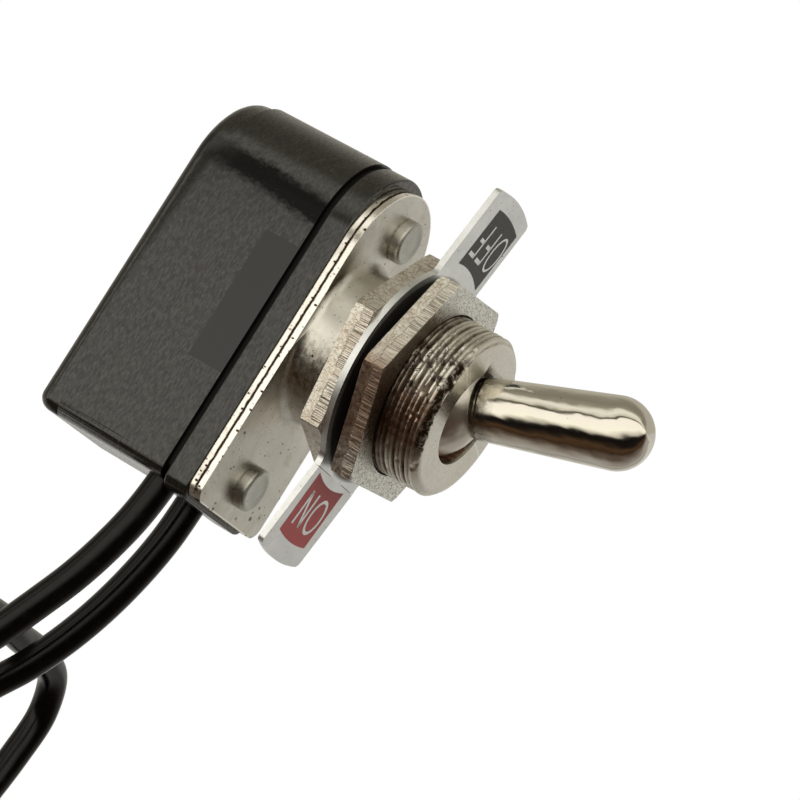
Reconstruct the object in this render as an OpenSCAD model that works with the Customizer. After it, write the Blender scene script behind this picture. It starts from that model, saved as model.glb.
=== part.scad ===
// Panel toggle switch: single pole, on-off, with a threaded bushing and two wire leads.
// Millimetres. It stands on the back of its case. Z is the bushing's axis, and +X is
// the ON side, where the leads come out. Pieces are drawn in the OFF position.

/* [Case and cover] */
// Width of the case, the cover and both plates
body_w = 11.6; // [11.4:0.1:13]
// Depth of the moulded case
case_h = 11.3; // [11:0.1:14]
// Thickness of the case's long walls
wall = 1.3; // [1:0.1:1.5]
// Thickness of the case's back
back_t = 1.5; // [1.2:0.1:2]
// Rounding of the case's back edges and ON corners
back_r = 1; // [0.5:0.1:1.2]
// Height of the mould step round the case's OFF end
step_z = 1.9; // [1.4:0.1:3]
// Depth of that step
step_in = 0.25; // [0.1:0.05:0.4]
// Thickness of the moulded cover
cover_t = 1.9; // [1.5:0.1:2.5]
// How far the cover reaches past the plates at each end
cover_rim = 0.35; // [0.1:0.05:0.6]
// How far the case's rounded OFF end reaches past the cover
case_step = 0.1; // [0:0.05:0.3]
// How far the case's square ON end stays short of the cover
case_short = 0.45; // [0.1:0.05:0.6]
// Width of the shadow line between case and cover
seam = 0.25; // [0.15:0.05:0.4]

/* [Plates and rivets] */
// Thickness of each metal plate
plate_t = 0.5; // [0.4:0.05:0.7]
// Bushing axis to the rounded OFF end of the plates
plate_off = 11.6; // [11:0.1:12]
// Bushing axis to the square ON end of the plates
plate_on = 14; // [13.4:0.1:15]
// Height of the boss drawn up in the top plate
boss_h = 3.25; // [2.8:0.05:4]
// Diameter of the rivet heads
rivet_head_d = 3.15; // [2.6:0.05:3.4]
// Height of the rivet heads
rivet_head_h = 0.85; // [0.5:0.05:1.2]
// Diameter of the rivet shanks
rivet_d = 1.5; // [1.2:0.1:1.8]
// Middle of the OFF rivet to the plates' OFF end
rivet_in_off = 3.15; // [2.4:0.05:3.2]
// Middle of the ON rivet to the plates' ON end
rivet_in_on = 2.75; // [2.4:0.05:3]

/* [Bushing and nuts] */
// Outside diameter of the bushing's thread
thread_d = 11.9; // [11.7:0.05:12.2]
// How much the thread's free end is worn down, in radius
thread_wear = 0.17; // [0.16:0.01:0.2]
// Height of the bushing's end above the top plate
bushing_l = 11.05; // [10.5:0.05:12]
// Diameter of the bushing's mouth
mouth_d = 6.7; // [6.5:0.1:7]
// Width across the flats of both nuts
nut_af = 14.7; // [14.3:0.1:15.5]
// Thickness of both nuts
nut_t = 1.6; // [1.4:0.05:1.9]
// Gap between the indicator plate and the front nut
nut_gap = 0.7; // [0.5:0.05:1.2]

/* [Indicator plate] */
// Thickness of the indicator plate
indicator_t = 0.45; // [0.3:0.05:0.6]
// Diameter of its ring
ring_d = 16; // [15.4:0.1:17]
// Width of its arms
arm_w = 7.4; // [6:0.1:8]
// Bushing axis to the tips of its arms
arm_reach = 14.5; // [13:0.1:16]
// Angle at which the arms are bent, OFF up and ON down
arm_bend = 6; // [1:0.5:7]
// Rounding of the arms' roots
root_r = 1; // [0.5:0.1:1.4]
// Rounding of the arms' outer corners
tip_r = 0.5; // [0.3:0.1:1]

/* [Lever] */
// Distance from the lever's pivot down to the contact rocker's pin
pin_drop = 15.5; // [15.4:0.05:15.6]
// Depth of the lever's pivot under the bushing's end
pivot_depth = 2.95; // [2.7:0.05:3.1]
// Diameter of the lever's ball
ball_d = 7.6; // [7.4:0.1:7.8]
// Diameter of the bat where it leaves the ball
neck_d = 4; // [3.6:0.1:4.2]
// Diameter of the bat's round tip
tip_d = 5; // [4.4:0.1:5.6]
// Pivot to the centre of the bat's round tip
bat_l = 12.95; // [11:0.05:15]
// Lean of the lever to each side
lean = 18; // [15:0.5:18.5]
// Diameter of the lever's tail
tail_d = 3.8; // [3.6:0.1:3.9]
// Pivot to the end of the tail
tail_l = 7.5; // [7:0.1:7.8]

/* [Contacts] */
// Diameter of the plunger
plunger_d = 2.4; // [2.2:0.1:2.5]
// Pivot to the centre of the plunger's round tip
plunger_l = 13.9; // [13.7:0.05:14.1]
// Tilt of the contact rocker to each side
rocker_tilt = 7; // [6:0.5:8]
// Width of the contact rocker
rocker_w = 3.6; // [3.2:0.1:3.8]
// Thickness of the contact rocker
rocker_t = 0.7; // [0.5:0.05:0.8]
// Thickness of the terminals' brass strip
strip_t = 0.6; // [0.5:0.05:0.8]
// Diameter of the silver contacts
contact_d = 1.8; // [1.4:0.1:2]
// Thickness of the silver contacts
contact_t = 0.5; // [0.4:0.05:0.6]

/* [Leads] */
// Diameter of each insulated lead
lead_d = 2.2; // [1.8:0.1:2.3]
// Diameter of the stranded wire in each lead
wire_d = 1.2; // [0.8:0.1:1.4]
// Length of bare wire at each lead's free end
bare_l = 4.5; // [3:0.5:6]

/* [Hidden] */

$fn = 64;
fine = 96;
eps = 0.01;

// Named clearances
fit = 0.04;        // a shank or thread in its hole
run = 0.08;        // the ball in its socket, and the plunger on its rocker
gap = 0.3;         // free room beside a moving piece
stop_gap = 0.05;   // between faces that touch at the end of the travel

// Heights of the stack, from the case's back upwards
cover_z = case_h;
lower_z = cover_z + cover_t;
top_z = lower_z + plate_t;
face_z = top_z + plate_t;
boss_z = face_z + boss_h;
indicator_z = boss_z + nut_t;
front_z = indicator_z + indicator_t + nut_gap;
mouth_z = face_z + bushing_l;
pivot_z = mouth_z - pivot_depth;

// Outlines
half_w = body_w / 2;
cover_off = plate_off + 2 * cover_rim;
cover_on = plate_on + cover_rim;
case_off = cover_off + case_step;
case_on = cover_on - case_short;
edge_break = 0.07;
plate_corner = 1.1;    // rounding of the plates' ON corners
cover_corner = 1.2;    // rounding of the cover's ON corners
rim_in = 0.3;          // inset of the case's rim in the shadow line
cover_slot = [5.4, 1.9];   // half length and half width of the lever's opening
plate_slot = [5.2, 2.6];
rivet_off_x = rivet_in_off - plate_off;
rivet_on_x = plate_on - rivet_in_on;
tail_r = rivet_d / 2 + 0.6;
tail_top = 0.7;
tail_in = 0.1;         // how deep the swaged tail lies in the case's back
head_ease = 0.15;      // height and width of the rivet head's eased rim
head_ease_w = 0.2;
thread_r = thread_d / 2;
nut_corner_r = nut_af / sqrt(3);
nut_ease = 0.3;        // how far a nut's corners are turned down, inwards and in height
nut_ease_h = 0.1;
bend_x = max(nut_corner_r - 0.6, ring_d / 2 + root_r - 1.1);

// Boss and the bushing's foot
boss_r = half_w - 0.05;
boss_fillet = 0.75;
boss_inner_r = boss_r - plate_t;
foot_r = thread_r - 1.25;
foot_lip = 0.6;
bore_r = foot_r - 0.6;
end_chamfer = 0.35;

// Sloping seat in the bushing's mouth
seat_in = 0.6;
seat_l = 1.8;
seat_w = 3.6;
seat_depth = 0.5;
seat_slope = -35;

// The lever's round tip, plunger and rocker. The rocker's trough is an arc that the
// plunger's tip follows while the lever and the rocker turn against each other.
plunger_r = plunger_d / 2;
plunger_tip_r = plunger_r + 0.1;
plunger_top = 5.2;
spring_top = 0.8;
spring_wire = 0.34;
spring_turns = 6;
pin_r = 0.5;
rocker_z = pivot_z - pin_drop;
end_x = plunger_l * sin(lean);
end_z = pin_drop - plunger_l * cos(lean);
path_x = end_x * cos(rocker_tilt) - end_z * sin(rocker_tilt);
path_z = end_x * sin(rocker_tilt) + end_z * cos(rocker_tilt);
path_0 = pin_drop - plunger_l;
trough_z = (path_x * path_x + path_z * path_z - path_0 * path_0) / (2 * (path_z - path_0));
trough_r = trough_z - path_0 + plunger_tip_r + run;
trough_half = 4.6;
tab_end = 6.2;
tab_z = trough_z - sqrt(pow(trough_r + rocker_t, 2) - trough_half * trough_half);
contact_x = tab_end - contact_d / 2;

// Height that the underside of a rocker tab reaches when its end is down, x from the pin
function tab_down(x, z) = rocker_z - x * sin(rocker_tilt) + z * cos(rocker_tilt);

// Inside of the case
post_x = tab_end + 1.2;
pocket_off = tab_end + 0.5;
pocket_on = post_x + 1.9;
pocket_half = half_w - wall;
stop_z = tab_down(tab_end, tab_z) - stop_gap;
fixed_top = tab_down(tab_end, tab_z - contact_t) - stop_gap;
stop_half = 1.2;
stop_l = 1.5;
shelf_l = contact_d + 0.2;
shelf_side = contact_d / 2 + gap;
lead_r = lead_d / 2;
lead_y = pocket_half - lead_r - 0.6;
lead_z = case_h - lead_r - 0.15;
lead_in = pocket_on - 0.1;
post_half = 1.3;
ear_gap = 0.2;
ear_r = 1.2;
ear_y = rocker_w / 2 + ear_gap;

// Routes of the leads' centre lines past the case, in the order that they run
lead_sides = 8;
common_route = [[17, -2.8, 9.7], [19.6, -2.8, 9.1], [22.4, -2.8, 8.2], [25.2, -2.8, 7],
    [28, -2.8, 5.7], [32, -3, 3.7], [36, -3.4, 2.1], [40, -3.8, 1.3], [45, -4.4, 1.1],
    [50.4, -5, 1.1], [56, -4.4, 1.1], [61.2, -2, 1.1], [65.2, 2.2, 1.1], [67.2, 7.6, 1.1],
    [66.8, 13.2, 1.1], [64, 18, 1.1], [59.4, 20.8, 1.1], [54.2, 20.8, 1.1], [50.6, 17.4, 1.1],
    [49.8, 12.6, 1.1], [51.2, 8, 1.1], [54.8, 4.8, 1.1], [59, 4.6, 1.1], [62, 7.4, 1.1],
    [62.2, 11.4, 1.1], [60.2, 14.6, 1.1], [57, 15.6, 1.1]];
switched_route = [[17, 2.8, 9.9], [20.6, 2.8, 9.3], [24.2, 2.8, 8.3], [27, 2.8, 7.2],
    [29.4, 2.8, 6], [32, 2.9, 4.3], [35, 3, 2.6], [39, 3.6, 1.3], [43.4, 5.6, 1.1],
    [46.4, 9, 1.1], [46.6, 13.4, 1.1], [43.6, 17, 1.1], [39.4, 18.4, 1.1],
    [35.8, 19.2, 1.1], [32.4, 19.4, 1.1], [29.8, 17.8, 1.1], [28.6, 14, 1.1],
    [28.2, 9.6, 1.1], [27.6, 4.6, 1.1], [27.8, -0.6, 1.1], [29.6, -5.8, 1.1],
    [33.6, -9.8, 1.1], [38.8, -12, 1.1], [44.4, -12.8, 1.1], [50, -13, 1.1],
    [55.4, -12.4, 1.1], [60.2, -10.4, 1.1]];

// Colours
phenolic = "#2b2b2a";
steel = "#b9b6ad";
brass = "#c9a15f";
nickel = "#c7c3b8";
aluminium = "#c4c7c3";
copper = "#b87350";
silver = "#e4e4e2";
nylon = "#ece8dc";
pvc = "#161616";
tinned = "#c2c2c0";

// Outline with a round OFF end, a square ON end and small round ON corners
module end_round_outline(off, on, w, corner) {
    translate([-off + w / 2, 0])
        circle(d = w, $fn = fine);
    translate([-off + w / 2, -w / 2])
        square([off + on - w / 2 - corner, w]);
    translate([0, -w / 2 + corner])
        square([on, w - 2 * corner]);
    for (side = [-1, 1])
        translate([on - corner, side * (w / 2 - corner)])
            circle(corner, $fn = 32);
}

// Straight-sided hole with round ends, long along X
module slot_hole(half_length, half_width, h) {
    translate([0, 0, h / 2])
        cube([2 * (half_length - half_width), 2 * half_width, h], center = true);
    for (side = [-1, 1])
        translate([side * (half_length - half_width), 0, 0])
            cylinder(r = half_width, h = h);
}

// Thin plate whose lower edge is eased, so that stacked plates show a line between them
module eased_plate(off, on, t) {
    linear_extrude(edge_break + eps)
        end_round_outline(off - edge_break, on - edge_break, body_w - 2 * edge_break,
            plate_corner - edge_break);
    translate([0, 0, edge_break])
        linear_extrude(t - edge_break)
            end_round_outline(off, on, body_w, plate_corner);
}

// Round holes for the two rivets
module rivet_holes(z, h) {
    for (x = [rivet_off_x, rivet_on_x])
        translate([x, 0, z])
            cylinder(d = rivet_d + 2 * fit, h = h, $fn = 32);
}

// Place things in the lever's own frame, whose Z runs from the pivot to the bat's tip
module in_lever() {
    translate([0, 0, pivot_z])
        rotate([0, -lean, 0])
            children();
}

// Place things in the rocker's own frame, with its pin at the origin
module in_rocker() {
    translate([0, 0, rocker_z])
        rotate([0, rocker_tilt, 0])
            children();
}

// Back of the case, up to the mould step, with its back edges rounded
module case_foot() {
    foot_off = case_off - step_in;
    hull() {
        translate([0, 0, back_r])
            linear_extrude(step_z - back_r)
                end_round_outline(foot_off, case_on, body_w, back_r);
        translate([-foot_off + half_w, 0, back_r])
            rotate_extrude($fn = fine)
                translate([half_w - back_r, 0])
                    circle(back_r, $fn = 24);
        for (side = [-1, 1])
            translate([case_on - back_r, side * (half_w - back_r), back_r])
                sphere(back_r, $fn = 24);
    }
}

module case_shell() {
    case_foot();
    translate([0, 0, step_z])
        linear_extrude(case_h - seam - step_z)
            end_round_outline(case_off, case_on, body_w, back_r);
    translate([0, 0, case_h - seam - eps])
        linear_extrude(seam + eps)
            end_round_outline(case_off - rim_in, case_on - rim_in, body_w - 2 * rim_in, back_r);
}

// Stop under the rocker's ON side
module case_stop() {
    translate([tab_end + gap + 0.2 - stop_l, -stop_half, back_t - eps])
        cube([stop_l, 2 * stop_half, stop_z - back_t + eps]);
}

// Notch in the ON wall's edge for one lead, closed by the cover
module lead_notch(y) {
    translate([pocket_on - eps, y, lead_z])
        rotate([0, 90, 0])
            cylinder(r = lead_r + fit, h = case_on, $fn = 32);
    translate([pocket_on - eps, y - lead_r - fit, lead_z])
        cube([case_on, lead_d + 2 * fit, case_h]);
}

module case() {
    color(phenolic) {
        difference() {
            case_shell();
            translate([-pocket_off, -pocket_half, back_t])
                cube([pocket_off + pocket_on, 2 * pocket_half, case_h]);
            for (side = [-1, 1])
                lead_notch(side * lead_y);
            rivet_holes(-eps, case_h + 1);
            for (x = [rivet_off_x, rivet_on_x])
                translate([x, 0, -eps])
                    cylinder(r = tail_r + gap, h = tail_top + eps, $fn = 48);
        }
        case_stop();
    }
}

module cover() {
    color(phenolic)
        difference() {
            translate([0, 0, cover_z])
                linear_extrude(cover_t)
                    end_round_outline(cover_off, cover_on, body_w, cover_corner);
            translate([0, 0, cover_z - eps])
                slot_hole(cover_slot[0], cover_slot[1], cover_t + 2 * eps);
            rivet_holes(cover_z - eps, cover_t + 2 * eps);
        }
}

module lower_plate() {
    color(brass)
        difference() {
            translate([0, 0, lower_z])
                eased_plate(plate_off, plate_on, plate_t);
            translate([0, 0, lower_z - eps])
                slot_hole(plate_slot[0], plate_slot[1], plate_t + 2 * eps);
            rivet_holes(lower_z - eps, plate_t + 2 * eps);
        }
}

// Section of the drawn boss, as heights above the plate against radius
function boss_arc(r, h) = [for (a = [0 : 15 : 90]) [r + h * (1 - sin(a)), h * (1 - cos(a))]];

module boss_solid() {
    rotate_extrude($fn = fine)
        polygon(concat([[0, -eps], [boss_r + boss_fillet, -eps]], boss_arc(boss_r, boss_fillet),
            [[boss_r - 0.05, boss_h - 0.3], [boss_r - 0.15, boss_h - 0.08],
            [boss_r - 0.3, boss_h], [0, boss_h]]));
}

module boss_hollow() {
    rotate_extrude($fn = fine)
        polygon([[0, -plate_t - eps], [boss_inner_r, -plate_t - eps],
            [boss_inner_r - 0.1, boss_h - plate_t], [0, boss_h - plate_t]]);
}

module top_plate() {
    color(steel)
        difference() {
            union() {
                translate([0, 0, top_z])
                    eased_plate(plate_off, plate_on, plate_t);
                intersection() {
                    translate([0, 0, face_z])
                        boss_solid();
                    translate([-plate_off, -half_w, face_z - plate_t])
                        cube([plate_off + plate_on, body_w, boss_h + 2 * plate_t]);
                }
            }
            translate([0, 0, face_z])
                boss_hollow();
            translate([0, 0, boss_z - plate_t - 1])
                cylinder(r = foot_r + fit, h = plate_t + 2);
            rivet_holes(top_z - eps, plate_t + 2 * eps);
        }
}

// Outside of the bushing above the boss: full thread, worn thread and a chamfer
module bushing_barrel() {
    worn_r = thread_r - thread_wear;
    barrel_l = mouth_z - boss_z;
    worn_z = front_z + nut_t + 2 * stop_gap - boss_z;
    rotate_extrude($fn = fine)
        polygon([[0, 0], [thread_r, 0], [thread_r, worn_z], [worn_r, worn_z],
            [worn_r, barrel_l - end_chamfer], [worn_r - end_chamfer, barrel_l], [0, barrel_l]]);
}

// Sloping seat in the mouth that gives the leaning lever room on the OFF side
module mouth_seat() {
    translate([-mouth_d / 2 + seat_in, 0, mouth_z])
        rotate([0, -seat_slope, 0])
            translate([-seat_l, -seat_w / 2, -seat_depth])
                cube([seat_l, seat_w, 2 * seat_depth]);
}

module bushing() {
    lip_z = boss_z - plate_t - foot_lip;
    color(nickel)
        difference() {
            union() {
                translate([0, 0, lip_z])
                    cylinder(r = foot_r, h = mouth_z - lip_z - end_chamfer);
                translate([0, 0, lip_z])
                    cylinder(r = boss_inner_r - 0.15, h = foot_lip);
                translate([0, 0, boss_z])
                    bushing_barrel();
            }
            translate([0, 0, lip_z - eps])
                cylinder(r = bore_r, h = pivot_z - lip_z);
            translate([0, 0, pivot_z])
                sphere(d = ball_d + 2 * run, $fn = fine);
            translate([0, 0, pivot_z])
                cylinder(d = mouth_d, h = pivot_depth + 1);
            mouth_seat();
        }
}

// Rivet with a flat head on the plate and a swaged tail in the case's back
module rivet(x) {
    color(steel) {
        translate([x, 0, tail_top - eps])
            cylinder(d = rivet_d, h = face_z - tail_top + 2 * eps, $fn = 32);
        translate([x, 0, tail_in])
            cylinder(r = tail_r, h = tail_top - tail_in, $fn = 48);
        translate([x, 0, face_z])
            cylinder(d = rivet_head_d, h = rivet_head_h - head_ease, $fn = 48);
        translate([x, 0, face_z + rivet_head_h - head_ease - eps])
            cylinder(d1 = rivet_head_d, d2 = rivet_head_d - 2 * head_ease_w, h = head_ease + eps,
                $fn = 48);
    }
}

module rivet_off() {
    rivet(rivet_off_x);
}

module rivet_on() {
    rivet(rivet_on_x);
}

// Hexagon nut with its corners turned down on both faces
module nut(turn) {
    outer_r = nut_corner_r + 0.05;
    color(nickel)
        difference() {
            intersection() {
                rotate([0, 0, turn])
                    cylinder(r = nut_corner_r, h = nut_t, $fn = 6);
                rotate_extrude($fn = fine)
                    polygon([[0, 0], [outer_r - nut_ease, 0], [outer_r, nut_ease_h],
                        [outer_r, nut_t - nut_ease_h], [outer_r - nut_ease, nut_t], [0, nut_t]]);
            }
            translate([0, 0, -eps])
                cylinder(r = thread_r + fit, h = nut_t + 2 * eps, $fn = fine);
        }
}

module back_nut() {
    translate([0, 0, boss_z])
        nut(15);
}

module front_nut() {
    translate([0, 0, front_z])
        nut(-24.5);
}

// Outer part of an arm along +X, from its bend to its rounded tip
module arm_outline() {
    corner_x = sqrt(pow(arm_reach - tip_r, 2) - pow(arm_w / 2 - tip_r, 2));
    translate([-bend_x, 0]) {
        intersection() {
            translate([bend_x - eps, tip_r - arm_w / 2])
                square([arm_reach, arm_w - 2 * tip_r]);
            circle(arm_reach, $fn = fine);
        }
        translate([bend_x - eps, -arm_w / 2])
            square([corner_x - bend_x + eps, arm_w]);
        for (side = [-1, 1])
            translate([corner_x, side * (arm_w / 2 - tip_r)])
                circle(tip_r, $fn = 32);
    }
}

// Flat part of the indicator plate: its ring, the arms' roots and their fillets
module ring_outline() {
    fillet_y = arm_w / 2 + root_r;
    fillet_x = sqrt(pow(ring_d / 2 + root_r, 2) - fillet_y * fillet_y);
    touch = ring_d / (ring_d + 2 * root_r);
    circle(d = ring_d, $fn = fine);
    square([2 * bend_x, arm_w], center = true);
    for (turn = [0, 180], side = [-1, 1])
        rotate([0, 0, turn])
            difference() {
                polygon([[0, 0], [fillet_x, side * arm_w / 2], [fillet_x, side * fillet_y],
                    touch * [fillet_x, side * fillet_y]]);
                translate([fillet_x, side * fillet_y])
                    circle(root_r, $fn = 32);
            }
}

module indicator_plate() {
    color(aluminium)
        difference() {
            translate([0, 0, indicator_z]) {
                linear_extrude(indicator_t)
                    ring_outline();
                for (turn = [0, 180])
                    translate([turn == 0 ? bend_x : -bend_x, 0, 0])
                        rotate([0, turn == 0 ? arm_bend : -arm_bend, turn])
                            linear_extrude(indicator_t)
                                arm_outline();
            }
            translate([0, 0, indicator_z - 1])
                cylinder(r = thread_r + fit, h = indicator_t + 2, $fn = fine);
        }
}

module lever() {
    color(nickel)
        in_lever()
            difference() {
                union() {
                    sphere(d = ball_d, $fn = fine);
                    cylinder(d1 = neck_d, d2 = tip_d, h = bat_l);
                    translate([0, 0, bat_l])
                        sphere(d = tip_d);
                    translate([0, 0, -tail_l])
                        cylinder(d = tail_d, h = tail_l);
                }
                translate([0, 0, -tail_l - eps])
                    cylinder(r = plunger_r + fit, h = tail_l - spring_top + eps);
            }
}

// Points of one ring of a tube round p, where the tube runs along direction d
function unit(v) = v / norm(v);
function side_of(d) = unit(cross(d, abs(d[2]) > 0.9 ? [1, 0, 0] : [0, 0, 1]));
function ring(p, d, r, n) =
    let (u = side_of(d), w = cross(u, d))
    [for (i = [0 : n - 1]) p + r * (cos(360 * i / n) * u + sin(360 * i / n) * w)];
function heading(pts, i) =
    unit(pts[min(i + 1, len(pts) - 1)] - pts[max(i - 1, 0)]);

// Tube of n sides swept along a list of points
module tube(pts, r, n) {
    count = len(pts);
    rings = [for (i = [0 : count - 1]) each ring(pts[i], heading(pts, i), r, n)];
    walls = [for (i = [0 : count - 2], j = [0 : n - 1])
        let (a = i * n + j, b = i * n + (j + 1) % n)
        each [[a, b, b + n], [a, b + n, a + n]]];
    start = [for (j = [n - 1 : -1 : 0]) j];
    finish = [for (j = [0 : n - 1]) (count - 1) * n + j];
    polyhedron(rings, concat(walls, [start, finish]));
}

module lever_spring() {
    coil_r = plunger_r - spring_wire / 2 - 0.06;
    low = -plunger_top + spring_wire / 2 + fit;
    high = -spring_top - spring_wire / 2 - fit;
    steps = 12 * spring_turns;
    color(steel)
        in_lever()
            tube([for (i = [0 : steps])
                [coil_r * cos(30 * i), coil_r * sin(30 * i), low + (high - low) * i / steps]],
                spring_wire / 2, 6);
}

module plunger() {
    color(nylon)
        in_lever() {
            translate([0, 0, -plunger_l])
                cylinder(r = plunger_r, h = plunger_l - plunger_top, $fn = 48);
            translate([0, 0, -plunger_l])
                sphere(r = plunger_tip_r, $fn = 48);
        }
}

module contact_rocker() {
    color(copper)
        in_rocker() {
            rotate([90, 0, 0])
                linear_extrude(rocker_w, center = true) {
                    intersection() {
                        translate([0, trough_z])
                            difference() {
                                circle(trough_r + rocker_t, $fn = fine);
                                circle(trough_r, $fn = fine);
                            }
                        translate([-trough_half, -trough_r])
                            square([2 * trough_half, trough_r + trough_z - rocker_t]);
                    }
                    for (side = [-1, 1])
                        translate([side > 0 ? trough_half - 0.3 : -tab_end, tab_z])
                            square([tab_end - trough_half + 0.3, rocker_t]);
                }
            for (side = [-1, 1])
                translate([0, side * (rocker_w / 2 - 0.3), 0])
                    rotate([-90 * side, 0, 0])
                        cylinder(r = pin_r, h = ear_gap + strip_t + 0.5, $fn = 32);
        }
}

module moving_contact() {
    color(silver)
        in_rocker()
            translate([-contact_x, 0, tab_z - contact_t])
                cylinder(d = contact_d, h = contact_t, $fn = 48);
}

// Standing post at the ON end of a terminal's strip, with the hole for its wire
module wire_post(y) {
    difference() {
        translate([post_x, y - post_half, back_t])
            cube([strip_t, 2 * post_half, case_h - back_t - 0.2]);
        translate([post_x - eps, y, lead_z])
            rotate([0, 90, 0])
                cylinder(d = wire_d + 2 * fit, h = strip_t + 2 * eps, $fn = 32);
    }
}

module common_terminal() {
    color(brass) {
        for (side = [-1, 1])
            difference() {
                union() {
                    translate([-ear_r, side > 0 ? ear_y : -ear_y - strip_t, back_t])
                        cube([2 * ear_r, strip_t, rocker_z - back_t]);
                    translate([0, side * (ear_y + strip_t / 2), rocker_z])
                        rotate([90, 0, 0])
                            cylinder(r = ear_r, h = strip_t, center = true, $fn = 48);
                }
                translate([0, side * (ear_y + strip_t / 2), rocker_z])
                    rotate([90, 0, 0])
                        cylinder(r = pin_r + fit, h = 2 * strip_t, center = true, $fn = 32);
            }
        translate([-ear_r, -ear_y - strip_t, back_t])
            cube([2 * ear_r, 2 * (ear_y + strip_t), strip_t]);
        translate([0, -lead_y - strip_t, back_t])
            cube([post_x + strip_t, lead_y + strip_t - stop_half - gap, strip_t]);
        wire_post(-lead_y);
    }
}

module switched_terminal() {
    shelf_top = fixed_top - contact_t;
    shelf_x = -contact_x - shelf_l / 2;
    run_y = ear_y + strip_t + gap;
    color(brass) {
        translate([shelf_x, run_y, back_t])
            cube([post_x + strip_t - shelf_x, pocket_half - run_y, strip_t]);
        translate([shelf_x, -shelf_side, shelf_top - strip_t])
            cube([shelf_l, pocket_half + shelf_side, strip_t]);
        translate([shelf_x, run_y, back_t])
            cube([shelf_l, strip_t, shelf_top - back_t]);
        wire_post(lead_y);
    }
}

module fixed_contact() {
    color(silver)
        translate([-contact_x, 0, fixed_top - contact_t])
            cylinder(d = contact_d, h = contact_t, $fn = 48);
}

// Route of a lead: out of the case along X, then over its free points
function lead_points(side, route) =
    concat([[lead_in, side * lead_y, lead_z], [case_on, side * lead_y, lead_z]], route);

// Bared wire of a lead, through its post at one end and past the insulation at the other
module wire(side, route) {
    pts = lead_points(side, route);
    last = len(pts) - 1;
    color(tinned) {
        translate([post_x - 0.6, side * lead_y, lead_z])
            rotate([0, 90, 0])
                cylinder(d = wire_d, h = lead_in - post_x + 0.6, $fn = 32);
        tube([pts[last], pts[last] + bare_l * heading(pts, last)], wire_d / 2, 8);
    }
}

module wire_common() {
    wire(-1, common_route);
}

module wire_switched() {
    wire(1, switched_route);
}

module lead_common() {
    color(pvc)
        tube(lead_points(-1, common_route), lead_r, lead_sides);
}

module lead_switched() {
    color(pvc)
        tube(lead_points(1, switched_route), lead_r, lead_sides);
}

case();
cover();
lower_plate();
top_plate();
bushing();
rivet_off();
rivet_on();
back_nut();
indicator_plate();
front_nut();
lever();
lever_spring();
plunger();
contact_rocker();
moving_contact();
common_terminal();
switched_terminal();
fixed_contact();
wire_common();
wire_switched();
lead_common();
lead_switched();
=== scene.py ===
# Panel toggle switch with two wire leads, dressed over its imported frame.
# Metres. Z is the bushing's axis, and +X is the ON side. The lever leans to OFF.
import math

import bmesh
import bpy
import numpy as np
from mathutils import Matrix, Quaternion, Vector


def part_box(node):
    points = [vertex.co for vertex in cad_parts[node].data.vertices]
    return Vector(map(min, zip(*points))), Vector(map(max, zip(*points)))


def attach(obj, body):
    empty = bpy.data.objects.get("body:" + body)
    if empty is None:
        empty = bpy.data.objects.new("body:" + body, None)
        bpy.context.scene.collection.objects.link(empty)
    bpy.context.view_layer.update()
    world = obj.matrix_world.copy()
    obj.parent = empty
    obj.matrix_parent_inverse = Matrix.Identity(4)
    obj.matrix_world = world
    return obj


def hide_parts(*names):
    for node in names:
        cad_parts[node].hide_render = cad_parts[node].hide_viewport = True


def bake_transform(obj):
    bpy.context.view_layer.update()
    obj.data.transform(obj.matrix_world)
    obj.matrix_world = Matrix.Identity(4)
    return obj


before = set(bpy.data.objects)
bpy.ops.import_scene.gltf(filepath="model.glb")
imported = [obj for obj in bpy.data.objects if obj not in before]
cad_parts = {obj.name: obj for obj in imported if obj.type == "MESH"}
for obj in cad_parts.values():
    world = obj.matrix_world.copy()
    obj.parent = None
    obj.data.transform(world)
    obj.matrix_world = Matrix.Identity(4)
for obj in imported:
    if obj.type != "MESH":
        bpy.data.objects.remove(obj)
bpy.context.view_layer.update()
mm = 0.001
level = math.radians

# --- Table, light and camera
# A white table and a white tent of light, open at the front, so that bright metal shows
# broad white panels with dark gaps between them.


def put(tree, kind, inputs=(), **settings):
    """Adds a node; inputs maps a socket's name or number to a value or to another node's output."""
    made = tree.nodes.new("ShaderNode" + kind)
    for key, value in settings.items():
        setattr(made, key, value)
    for key, value in dict(inputs).items():
        if isinstance(value, bpy.types.NodeSocket):
            tree.links.new(value, made.inputs[key])
        else:
            made.inputs[key].default_value = value
    return made


def ramp(tree, factor, stops):
    """Adds a colour ramp, whose stops are (place, (red, green, blue)) from low to high."""
    made = put(tree, "ValToRGB", {0: factor})
    elements = made.color_ramp.elements
    while len(elements) < len(stops):
        elements.new(1.0)
    for element, (place, colour) in zip(elements, stops):
        element.position = place
        element.color = (*colour, 1.0)
    return made.outputs[0]


eye = Vector((21.61, -187.60, 99.06)) * mm
aim = Vector((1.08, 0.12, 20.30)) * mm
camera_roll = level(119.43)
camera = bpy.data.objects.new("camera", bpy.data.cameras.new("camera"))
camera.data.sensor_width = 36
camera.data.lens = 137.9
camera.data.clip_start = 5 * mm
camera.location = eye
camera.rotation_mode = "QUATERNION"
rolled = Quaternion((0, 0, 1), camera_roll)
camera.rotation_quaternion = (aim - eye).to_track_quat("-Z", "Y") @ rolled
bpy.context.scene.collection.objects.link(camera)
bpy.context.scene.camera = camera
bpy.context.scene.view_settings.view_transform = "Standard"

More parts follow.
